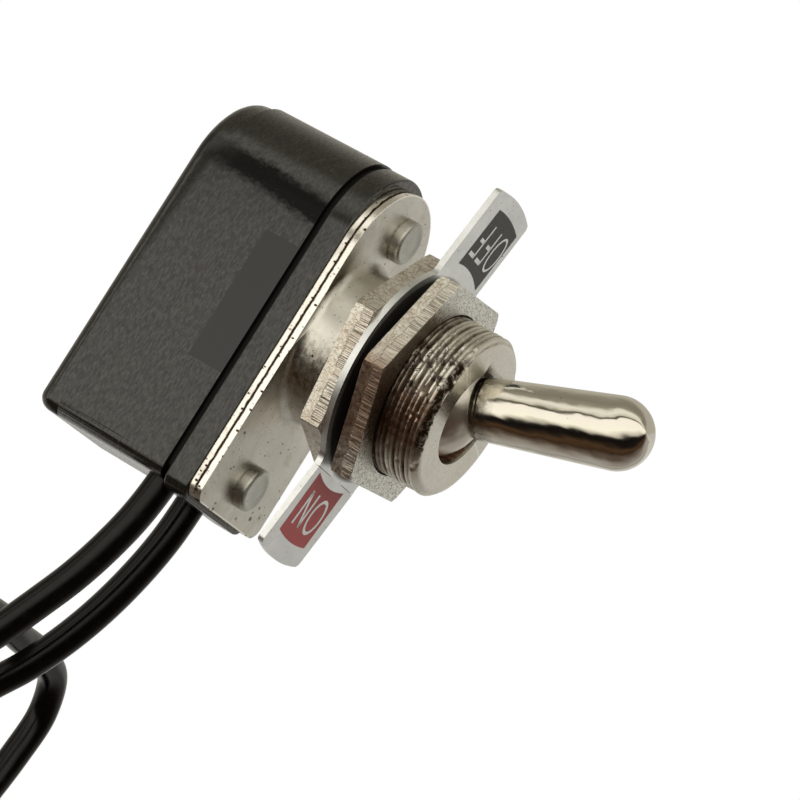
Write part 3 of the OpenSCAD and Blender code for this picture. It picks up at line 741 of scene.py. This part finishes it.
rivet_steel = plated_finish("rivet_steel", (0.60, 0.59, 0.55), (0.40, 0.35, 0.27), 0.34, specks=0.2)
for node in ("rivet_off", "rivet_on"):
    low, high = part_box(node)
    middle = (low.x + high.x) / 2 / mm
    top = high.z / mm
    tail = low.z / mm
    profile = [(0, tail), (1.1, tail),
               *corner((swage_radius - swage_round, tail + swage_round), swage_round, -90, 0),
               (swage_radius, swage_depth), (rivet_shank, swage_depth),
               (rivet_shank, plate_face), (rivet_head - 0.05, plate_face),
               *corner((rivet_head - 0.06, plate_face + 0.1), 0.06, -60, 0, 3),
               *corner((rivet_head - 0.26, top - 0.26), 0.26, 0, 80, 9),
               (1.12, top - 0.012), (1.06, top - 0.03), (0.5, top - 0.015), (0, top - 0.02)]
    rivet = built(node + "_set", *turned(profile, centre=(middle, 0.0)), rivet_steel, 50)
    settled(rivet, "housing", "steel", node)

# --- Bushing
# Turned in brass and nickel-plated, with a 15/32-32 thread. The crests are flattened and
# nicked, the plating is worn through, and brown dirt fills the thread. Highlights are painted
# in dashes on the crests, and shadow is painted on the thread by the nut.
thread_pitch = 25.4 / 32
thread_radius = 5.95
thread_low = 17.45
bushing_end = 25.25
end_chamfer = 0.35
groove_depth = 0.24
mouth_radius = 3.35
socket_radius = 3.88
seat_slope = level(35)
seat_place = -3.037
seat_drop = 0.41
flange_radius, flange_low, flange_top = 5.1, 16.35, 16.95
bore = 4.1


def lattice(rng, shape, across, up):
    """Smooth random field: a lattice of random values, closed round, read between its points."""
    values = rng.random(shape)
    column, row = across % 1 * shape[1], np.clip(up, 0, 0.999) * (shape[0] - 1)
    c0, r0 = column.astype(int) % shape[1], row.astype(int)
    fc, fr = column % 1, row % 1
    fc, fr = fc * fc * (3 - 2 * fc), fr * fr * (3 - 2 * fr)
    c1, r1 = (c0 + 1) % shape[1], r0 + 1
    low = values[r0, c0] * (1 - fc) + values[r0, c1] * fc
    high = values[r1, c0] * (1 - fc) + values[r1, c1] * fc
    return low * (1 - fr) + high * fr


def bushing_surface():
    """Closed profile turned about Z. On its threaded stretch the radius falls from the crest by a
    60 degree groove that climbs one pitch a turn; crests are cut flat and nicked by a random field.
    A sloping flat is struck on the OFF side of the mouth. Also gives each point's share of dirt."""
    sides, steps = 288, 200
    turn = np.linspace(0, 1, sides, endpoint=False)[None, :]
    height = np.linspace(thread_low, bushing_end - 0.05, steps)[:, None]
    across = np.abs(((height / thread_pitch - turn) % 1) * 2 - 1)
    groove = np.clip(1.05 - across / 0.42, 0, 1)
    line = np.exp(-((1 - across) / 0.15)**2)
    up = (height - thread_low) / (bushing_end - thread_low)
    rng = np.random.default_rng(32)
    dents = lattice(rng, (40, 90), turn + 0 * up, up + 0 * turn)
    worn = lattice(rng, (7, 9), turn + 0 * up, up + 0 * turn)
    flat = (0.03 + 0.07 * worn + 0.12 * np.clip(dents - 0.72, 0, 1) / 0.28
            + 0.035 * np.clip((across - 0.66) / 0.3, 0, 1) + 0.08 * line)
    fade = np.clip((bushing_end - 0.42 - height) / 0.5, 0, 1)
    outer = np.minimum(thread_radius, thread_radius - end_chamfer + (bushing_end - height))
    radius = outer - flat - groove_depth * groove * fade
    threaded = np.stack([radius, height + 0 * turn], -1)

    def rows(profile):
        return np.broadcast_to(np.array(profile, float)[:, None], (len(profile), sides, 2))

    lip = math.sqrt(socket_radius**2 - mouth_radius**2)
    low_angle = math.degrees(math.asin(lip / socket_radius))
    below = rows([(3.9, flange_low), (flange_radius, flange_low), (flange_radius, flange_top),
                  (4.7, flange_top), (4.7, thread_low)])
    face_radii = (5.45, 5.2, 4.8, 4.4, 4.1, 3.9, 3.75, 3.62, 3.5, 3.42, 3.36)
    face = rows([(r, bushing_end) for r in face_radii])
    wall = rows([(mouth_radius, z) for z in (25.2, 25.05, 24.9, 24.7, 24.5, pivot_height + lip)])
    ball = rows(corner((0, pivot_height), socket_radius, low_angle, 0, 9))
    inner = rows([(bore, pivot_height), (bore, flange_low)])
    profile = np.concatenate([below, threaded, face, wall, ball, inner])
    radius, height = profile[..., 0], profile[..., 1]
    x, y = radius * np.cos(2 * np.pi * turn), radius * np.sin(2 * np.pi * turn)
    seat = bushing_end - seat_drop + (seat_place - x) * math.tan(seat_slope)
    struck = (np.abs(y) < 1.8) & (x < 0) & (radius < 5.3) & (height > 24.2)
    grid = np.stack([x, y, np.where(struck, np.minimum(height, seat), height)], -1)
    darkening = np.zeros(radius.shape)
    darkening[len(below):len(below) + steps] = np.clip((1.7 * groove + 0.8 * line) * fade, 0, 1)
    return grid, quads(len(grid) + 1, sides) % (len(grid) * sides), darkening


def cell_edges(place, scale, detail):
    """Distance to the nearest edge in a pattern of crooked cells."""
    shaken = fed("VectorMath", {0: place, 1: noise(place, 1.5, detail)}, operation="ADD")[0]
    inputs = {"Vector": shaken, "Scale": scale}
    return fed("TexVoronoi", inputs, feature="DISTANCE_TO_EDGE")["Distance"]


def bushing_finish():
    """Nickel plating on brass: light grey on the end face, worn on the crests. Brown dirt fills
    the grooves and cracks, thickest on the ON side, and blackens the front rim. Highlights are
    painted in dashes along the crests in the middle, with painted dark breaks between them, and
    shadow is painted on the thread by the nut."""
    finish, tree, place = new_finish("worn_bushing", {"Metallic": 1.0})
    x, y, z = fed("SeparateXYZ", {0: place})
    ragged = noise(place, 1.6, 6, 0.7, 7.0)
    barrel = span(z, bushing_end - 0.12, bushing_end - 0.3)
    in_groove = put(tree, "Attribute", attribute_name="groove").outputs["Fac"]
    patches = effect(grime, place, Scale=0.7, Level=0.5, Edge=0.12, Seed=2.0)
    dirty = times(in_groove, span(patches, 0, 1, 0.55, 1.0))

    middle = span(apart(x, -0.8), 3.2, 1.4)
    cracks = times(span(cell_edges(place, 1.25, 4), 0.09, 0.02), span(ragged, 0.47, 0.55))
    blots = effect(grime, place, Scale=1.5, Level=0.58, Edge=0.04, Seed=5.0)
    # Painted highlight: bright dashes along the crests in the middle band, with painted dark breaks
    # between them.
    arc = math_of("ARCTAN2", x, times(y, -1.0))
    unrolled = fed("CombineXYZ", {0: times(arc, 5.4), 1: times(z, 4.6)})[0]
    dashed = noise(unrolled, 1.0, 4, 0.6, 3.0)
    painted_highlight_dashes = times(span(dashed, 0.56, 0.60), middle)
    painted_dark_breaks = times(span(dashed, 0.40, 0.36), 0.8)
    # Dark marks: cracks and blots, with the painted dark breaks between the highlights.
    marks = times(most(cracks, painted_dark_breaks, blots), middle, barrel, 0.9)

    drawn = noise(place_in_mm(tree, stretch=(3.0, 3.0, 0.35)), 1, 4, 0.6)
    rusty = times(span(x, -0.6, 1.6), span(x, 4.9, 3.6),
                  span(drawn, 0.35, 0.6, 0.45, 0.95), barrel)
    # Painted shadow of the front nut, dark brown on the thread beside it.
    shade_by_nut = times(span(z, 22.7, 21.9), span(ragged, 0.3, 0.6, 0.5, 1.0))
    rim = times(span(plus(off_axis(x, y), times(ragged, 1.6)), 6.15, 6.3),
                span(z, bushing_end - 0.6, bushing_end - 0.45),
                span(apart(x, 0.7), 3.9, 2.9), span(y, -3.2, -3.8),
                span(noise(place, 2.6, 5, 0.7, 1.0), 0.36, 0.50, 0.35, 1.0))
    black = most(marks, rim, effect(pits, place, Scale=1.6, Size=0.16, Share=0.2))

    tone = blend(noise(place, 0.5, 5), (0.80, 0.78, 0.72), (0.66, 0.63, 0.54))
    tone = layered(
        tone, (painted_highlight_dashes, (0.97, 0.95, 0.88)), (rusty, (0.30, 0.15, 0.09)),
        (dirty, (0.11, 0.062, 0.034)), (shade_by_nut, (0.10, 0.065, 0.045)),
        (black, (0.035, 0.022, 0.012)))
    rough = plus(span(noise(place, 4, 4), 0.3, 0.7, 0.24, 0.38), times(most(dirty, black), 0.35))
    relief = minus(noise(place, 2.2, 6, 0.65, 1.0), times(black, 0.8))
    return surfaced(finish, tone, rough, relief, 0.45, 0.05)


grid, faces, groove = bushing_surface()
mesh = bpy.data.meshes.new("bushing_threaded")
mesh.from_pydata((grid.reshape(-1, 3) * mm).tolist(), [], faces.tolist())
marked = mesh.attributes.new("groove", "FLOAT", "POINT")
marked.data.foreach_set("value", groove.astype(np.float32).ravel())
settled(shown("bushing_threaded", mesh, bushing_finish(), 50), "housing", "nickel", "bushing")

# --- Nuts
# Two thin hexagon nuts, sawn from drawn bar: one behind the indicator plate, one in front,
# hand tight. Their flats are hatched by the saw and browned, with a line along the middle.


def nut_finish(name, line_height, top, browned):
    """Nut plating: the flats' front half is hatched across, their rear half pebbled, and a wavy
    dark line parts them. The front face, at height top, is brown inside and bright at its ends.
    browned is the share of brown on the flat that faces the ON side."""
    finish, tree, place = new_finish(name, {"Metallic": 1.0})
    x, y, z = fed("SeparateXYZ", {0: place})
    waver = span(noise(place, 1.1, 5, 0.6), 0.2, 0.8, -0.22, 0.22)
    above = minus(plus(z, waver), line_height)
    front = span(above, -0.05, 0.05)
    line = times(span(apart(above, 0.0), 0.05, 0.015),
                 span(noise(place, 1.3, 3, 0.5, 9.0), 0.38, 0.5), 0.55)

    fine = noise(place_in_mm(tree, stretch=(9, 9, 0.7)), 1, 3, 0.6)
    pebbled = times(noise(place, 3.6, 4, 0.6),
                    span(cell_edges(place, 2.3, 3), 0.0, 0.10, 0.72, 1.08))
    skin = span(front, 0, 1, pebbled, fine)
    nicks = effect(scratches, place_in_mm(tree, stretch=(6.0, 6.0, 0.2)), Width=0.05, Cover=0.6)
    spots = effect(pits, place, Scale=2.0, Size=0.18, Share=0.2)
    marks = most(times(nicks, front, 1.1), line, spots)
    patches = effect(grime, place, Scale=0.6, Level=0.55, Edge=0.12, Seed=4.0)
    brown = times(span(x, -0.5, 0.9), span(x, 6.6, 5.2), browned)

    wavered = plus(x, span(pebbled, 0.3, 0.6, -0.5, 0.5))
    ends = most(span(wavered, -3.6, -4.6), span(wavered, 4.6, 5.6), span(y, -1.0, 0.5))
    face_tone = blend(ends, (0.22, 0.17, 0.125), (0.93, 0.93, 0.88))
    tone = blend(span(skin, 0.36, 0.6), (0.60, 0.54, 0.44), (0.98, 0.95, 0.88))
    tone = layered(tone, (most(brown, times(patches, 0.35)), (0.38, 0.22, 0.15)),
                   (span(z, top - 0.06, top - 0.02, 0, 0.85), face_tone),
                   (times(marks, 0.65), (0.08, 0.05, 0.03)))
    relief = minus(plus(skin, noise(place, 1.4, 5, 0.6, 2.0)), marks)
    return surfaced(finish, tone, span(pebbled, 0.3, 0.7, 0.26, 0.42), relief, 0.5, 0.06)


for node, body, browned in (("back_nut", "housing", 0.1), ("front_nut", "nut", 0.75)):
    low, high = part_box(node)
    finish = nut_finish(node + "_nickel", (0.52 * low.z + 0.48 * high.z) / mm, high.z / mm, browned)
    dressed(node, body, "nickel", finish, 0.05, 25)

# --- Indicator plate
# A thin aluminium plate that shows the two positions, with its OFF arm bent up and its ON arm
# bent down. OFF and ON are left bare, as narrow capitals, in a dark and a red printed panel.
bend_place = 7.9
bend_angle = level(6)
arm_face = 19.5
ring_radius = 7.9
panel_lift, letter_lift = 0.012, 0.024
askew_from = 10.7
stroke = 0.27


def on_arm(side, along, across, lift):
    """Point on an arm's face: along runs out from the bushing's axis and turns with the bend."""
    past = along - bend_place
    x = side * (bend_place + past * math.cos(bend_angle)) + lift * math.sin(bend_angle)
    z = arm_face - side * past * math.sin(bend_angle) + lift * math.cos(bend_angle)
    return np.stack([x + 0 * across, across + 0 * along, z + 0 * across], -1)


def leaning(along, across, middle, lean):
    """Print laid a little askew: across shifts with the distance along."""
    return along, across + middle + (along - askew_from) * lean


def printed_panel(side, inner, outer, half, middle, lean):
    """Panel between two arcs round the bushing's axis and two straight sides."""
    columns, rows = 25, 9
    across = np.linspace(-half, half, columns)[None, :]
    share = np.linspace(0, 1, rows)[:, None]
    low = np.sqrt(inner**2 - (across + middle)**2)
    high = np.sqrt(outer**2 - (across + middle)**2)
    place = leaning(low + (high - low) * share, across + 0 * share, middle, lean)
    faces = quads(rows, columns, closed=False)
    return on_arm(side, *place, panel_lift), faces[:, ::-1] if side > 0 else faces


def bars(strokes):
    """Straight strokes: each from one point to another with a width, as one flat quad."""
    start, stop, width = (np.array([s[i] for s in strokes], float) for i in range(3))
    run = stop - start
    square = np.stack([-run[:, 1], run[:, 0]], -1) / np.linalg.norm(run, axis=1)[:, None]
    half = square * width[:, None] / 2
    points = np.stack([start - half, stop - half, stop + half, start + half], 1).reshape(-1, 2)
    return points, np.arange(len(points)).reshape(-1, 4)


def oval(centre, half, width):
    """Letter O: the band between two ellipses."""
    sides = 48
    angle = np.linspace(0, 2 * np.pi, sides, endpoint=False)[None, :]
    size = np.array([0.0, width])[:, None]
    along = centre[0] + (half[0] - size) * np.cos(angle)
    across = centre[1] + (half[1] - size) * np.sin(angle)
    return np.stack([along, across], -1).reshape(-1, 2), quads(2, sides)


def letters(side, parts, middle, lean):
    """Flat letters on an arm, just above its panel."""
    points = np.concatenate([p for p, _ in parts])
    count = np.cumsum([0] + [len(p) for p, _ in parts])
    faces = np.concatenate([f + n for (_, f), n in zip(parts, count)])
    along, across = leaning(points[:, 0], points[:, 1], middle, lean)
    return on_arm(side, along, across, letter_lift), faces if side > 0 else faces[:, ::-1]


def ink_finish(name, colour, rubbed):
    """Printed ink: matt, a little uneven, and rubbed thin in spots."""
    finish, _, place = new_finish(name, {"Specular IOR Level": 0.5})
    worn = effect(grime, place, Scale=2.2, Level=0.66, Edge=0.05)
    cloud = span(noise(place, 1.2, 4), 0.3, 0.7, 0.0, 0.35)
    tone = blend(most(cloud, times(worn, 0.8)), colour, rubbed)
    rough = span(noise(place, 5, 3), 0.3, 0.7, 0.4, 0.55)
    return surfaced(finish, tone, rough, noise(place, 6, 3), 0.2, 0.01)


def shade_under_nut(place, tone, satin):
    """Shadow painted near black on the plate's face inside the ring, in the gap under the front
    nut.
    """
    x, y, z = fed("SeparateXYZ", {0: place})
    # Painted shadow in the gap under the front nut.
    darkening = times(span(off_axis(x, y), ring_radius - 0.1, ring_radius - 0.5),
                 span(z, arm_face - 0.06, arm_face - 0.02))
    tone = blend(times(darkening, 0.93), tone, (0.02, 0.018, 0.014))
    return tone, plus(satin, times(darkening, 0.3))


plate_aluminium = plated_finish("plate_aluminium", (0.93, 0.95, 0.96), (0.66, 0.64, 0.58), 0.3,
                                specks=0.12, stains=0.68, wear_and_painted_light=shade_under_nut)
dressed("indicator_plate", "housing", "aluminium", plate_aluminium, 0.15)

red_ink = ink_finish("red_ink", (0.66, 0.095, 0.105), (0.54, 0.12, 0.12))
dark_ink = ink_finish("dark_ink", (0.055, 0.058, 0.054), (0.080, 0.078, 0.074))
n_letter = [((9.35, -1.62), (11.95, -1.62), stroke), ((9.35, -0.45), (11.95, -0.45), stroke),
            ((9.42, -1.62), (11.88, -0.45), stroke)]
f_letters = [bar for y in (0.2, -1.25) for bar in (
    ((9.55, y), (12.2, y), 0.2), ((9.68, y), (9.68, y - 0.95), 0.32),
    ((10.85, y), (10.85, y - 0.75), 0.3))]
on_parts = [oval((10.7, 1.12), (1.38, 1.05), stroke), bars(n_letter)]
off_parts = [oval((10.92, 1.5), (1.4, 0.85), 0.2), bars(f_letters)]
for name, side, panel, ink, parts in (
        ("on", 1, (8.62, 13.02, 2.62, -0.12, 0.07), red_ink, on_parts),
        ("off", -1, (8.82, 13.27, 2.48, 0.53, 0.015), dark_ink, off_parts)):
    panel_piece = built(name + "_panel", *printed_panel(side, *panel), ink)
    lettering = built(name + "_letters", *letters(side, parts, *panel[3:]), plate_aluminium)
    for piece in (panel_piece, lettering):
        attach(piece, "housing")

# --- Lever
# Turned in brass and nickel-plated: a tapered bat with a round tip, a ball that turns in
# the bushing, and a bored tail for the plunger. The plating is bright and a little wavy.
neck_radius = 2.0
tip_radius = 2.5
bat_length = 12.95
ball_radius = 3.8
tail_radius = 1.9
tail_length = 7.5
bore_radius = 1.24
bore_top = -0.8
neck_low = 3.22


def lever_surface():
    """Closed profile turned about the lever's own axis, then leant about its pivot."""
    tail_meet = -math.sqrt(ball_radius**2 - tail_radius**2)
    tail_angle = math.degrees(math.asin(tail_meet / ball_radius))
    neck_angle = math.degrees(math.asin(neck_low / ball_radius))
    shoulder = [(2.03, 3.3), (2.04, 3.36), *corner((1.72, 3.83), 0.43, -42, 0, 8)]
    bat = [(neck_radius + (tip_radius - neck_radius) * z / bat_length, z)
           for z in np.linspace(4.0, bat_length, 14)]
    profile = [(0, bore_top), (bore_radius, bore_top), (bore_radius, -tail_length + 0.1),
               (bore_radius + 0.1, -tail_length), (tail_radius - 0.15, -tail_length),
               (tail_radius, -tail_length + 0.15), (tail_radius, tail_meet),
               *corner((0, 0), ball_radius, tail_angle, neck_angle, 30)[1:], *shoulder, *bat,
               *corner((0, bat_length), tip_radius, 0, 90, 18)[1:]]
    grid, faces = turned(profile, 128)
    return leant(grid), faces


def lever_finish():
    """Bright nickel: nearly a mirror, rippled by polishing, with grime and painted shadow at its
    root where it leaves the bushing, and a few specks.
    """
    finish, tree, place = new_finish("bright_nickel", {"Metallic": 1.0})
    along = place_in_mm(tree, (0, lever_lean, 0), (1, 1, 0.35))
    pivot = (0, 0, pivot_height)
    from_pivot = fed("VectorMath", {0: place, 1: pivot}, operation="DISTANCE")["Value"]
    # Grime and painted shadow at the lever's root, where it leaves the bushing's mouth.
    root_shade_and_grime = times(span(from_pivot, 3.82, 3.9), span(from_pivot, 5.5, 4.6),
                  span(noise(place, 1.8, 5, 0.65, 6.0), 0.35, 0.6, 0.30, 0.95))
    spots = effect(pits, place, Scale=2.0, Size=0.13, Share=0.25)
    tone = blend(noise(place, 0.4, 4), (0.80, 0.77, 0.70), (0.70, 0.66, 0.58))
    tone = layered(tone, (root_shade_and_grime, (0.11, 0.095, 0.065)), (spots, (0.08, 0.06, 0.04)))
    rough = plus(span(noise(along, 1.8, 4), 0.3, 0.7, 0.06, 0.12),
                 most(span(from_pivot, 3.95, 3.82, 0, 0.28), times(root_shade_and_grime, 0.2)))
    small = noise(place_in_mm(tree, (0, lever_lean, 0), (1, 1, 0.6)), 1.0, 1, 0.4, 1.0)
    ripple = plus(noise(along, 0.6, 1, 0.4, 3.0), times(small, 0.6))
    return surfaced(finish, tone, rough, ripple, 0.9, 0.15)


lever = built("lever_bat", *lever_surface(), lever_finish(), 50)
settled(lever, "toggle", "nickel", "lever")
